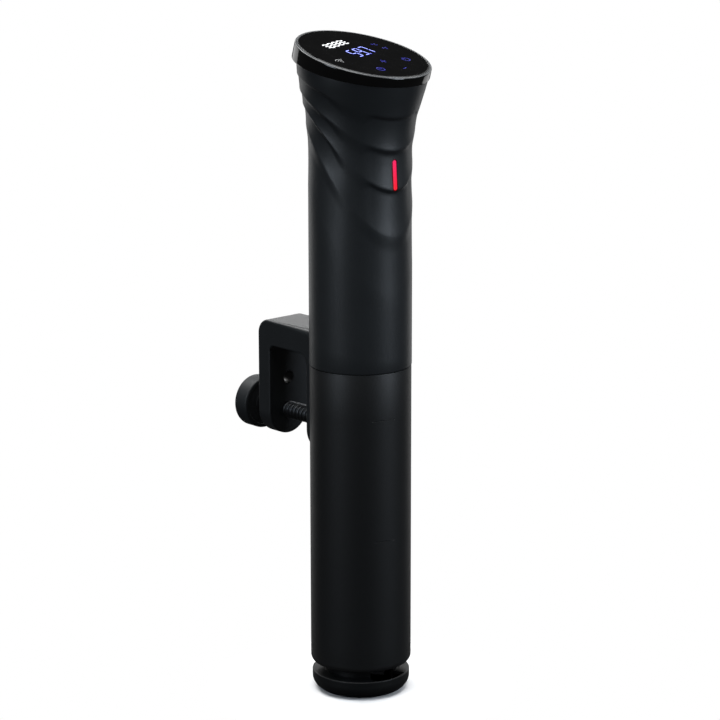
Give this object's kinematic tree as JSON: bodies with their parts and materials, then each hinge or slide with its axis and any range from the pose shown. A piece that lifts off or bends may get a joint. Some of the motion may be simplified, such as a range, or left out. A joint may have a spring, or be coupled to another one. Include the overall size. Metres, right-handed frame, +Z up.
{
  "type": "sous vide circulator",
  "caption": "Slim round immersion circulator with a flared head, sloped round touch display, slotted outlet above a cup base and a screw clamp at the back.",
  "frame": {"origin": "centre of the base cup's flat underside, on the axis of the round body", "axes": "+Z up along the body, -Y towards the user (light strip and outlet window), +Y towards the pot clamp"},
  "size_m": [0.0772, 0.1338, 0.377],
  "materials": {
    "display_glass": "polished black glass",
    "bezel_gloss": "piano black",
    "shell_plastic": "fine matt texture",
    "tube_plastic": "fine matt texture",
    "base_plastic": "fine matt texture",
    "neck_plastic": "satin",
    "clamp_plastic": "fine matt texture",
    "knob_plastic": "satin",
    "screw_steel": "dark rolled thread",
    "light_red": "lit red diffuser",
    "gland_plastic": "satin",
    "board_green": "solder mask",
    "led_block": "smoked",
    "carrier_plastic": "plain",
    "component_dark": "plain",
    "transformer_yellow": "tape wound",
    "capacitor_sleeve": "shrink sleeve",
    "terminal_green": "plain",
    "fuse_glass": "clear",
    "spring_steel": "bright",
    "fastener_steel": "zinc plated",
    "shaft_steel": "ground",
    "stainless": "drawn tube",
    "motor_steel": "zinc plated",
    "magnet_ferrite": "sintered",
    "aluminium_plain": "extruded",
    "brass_plain": "turned",
    "rubber_black": "moulded",
    "seal_rubber": "silicone",
    "lead_insulation": "silicone",
    "bulkhead_plastic": "glass filled",
    "bush_plastic": "acetal",
    "impeller_plastic": "plain"
  },
  "bodies": {
    "root": {"touch_glass": "display_glass", "bezel_ring": "bezel_gloss", "glass_gasket": "rubber_black", "display_board": "board_green", "digit_module": "led_block", "touch_springs": "spring_steel", "display_screws": "fastener_steel", "display_ribbon": "lead_insulation", "upper_shell": "shell_plastic", "light_pipe": "light_red", "indicator_board": "board_green", "cord_gland": "gland_plastic", "gland_nut": "gland_plastic", "board_carrier": "carrier_plastic", "carrier_screws": "fastener_steel", "main_board": "board_green", "transformer": "transformer_yellow", "board_capacitors": "capacitor_sleeve", "relay": "component_dark", "fuse": "fuse_glass", "terminal_block": "terminal_green", "triac": "component_dark", "heatsink": "aluminium_plain", "heater_leads": "lead_insulation", "motor_can": "motor_steel", "motor_magnets": "magnet_ferrite", "motor_bracket": "aluminium_plain", "motor_screws": "fastener_steel", "upper_bearing": "shaft_steel", "shaft_seal": "seal_rubber", "bulkhead_plate": "bulkhead_plastic", "bulkhead_o_ring": "seal_rubber", "bulkhead_screws": "fastener_steel", "heater_element": "stainless", "heater_glands": "brass_plain", "thermal_cutout": "component_dark", "temperature_probe": "stainless", "level_rods": "stainless", "rod_grommets": "seal_rubber", "shaft_tube": "stainless", "lower_bush": "bush_plastic", "tube_o_ring": "seal_rubber", "clamp_bracket": "clamp_plastic", "bracket_screws": "fastener_steel", "jaw_grip_pad": "rubber_black"},
    "rotor": {"motor_armature": "motor_steel", "shaft_coupling": "aluminium_plain", "drive_shaft": "shaft_steel", "impeller": "impeller_plastic", "impeller_nut": "fastener_steel"},
    "skirt": {"lower_tube": "tube_plastic", "outlet_neck": "neck_plastic"},
    "cap": {"base_cap": "base_plastic"},
    "pad": {"pressure_pad": "rubber_black"},
    "screw": {"clamp_screw": "screw_steel", "clamp_knob": "knob_plastic"}
  },
  "joints": [
    {"name": "impeller_spin", "type": "hinge", "parent": "root", "child": "rotor", "pos_m": [0, 0, 0.1], "axis": [0, 0, 1], "continuous": true},
    {"name": "tube_release", "type": "slide", "parent": "root", "child": "skirt", "axis": [0, 0, -1], "range_m": [0, 0.18]},
    {"name": "cap_release", "type": "slide", "parent": "skirt", "child": "cap", "axis": [0, 0, -1], "range_m": [0, 0.03]},
    {"name": "pad_travel", "type": "slide", "parent": "root", "child": "pad", "axis": [0, 1, 0], "range_m": [-0.003, 0.0235]},
    {"name": "screw_turn", "type": "hinge", "parent": "pad", "child": "screw", "pos_m": [0, 0.06, 0.1534], "axis": [0, 1, 0], "range_deg": [-361, 2821]}
  ],
  "couplings": [
    {"joint": "screw_turn", "follows": "pad_travel", "rad_per_m": 2094.4}
  ]
}
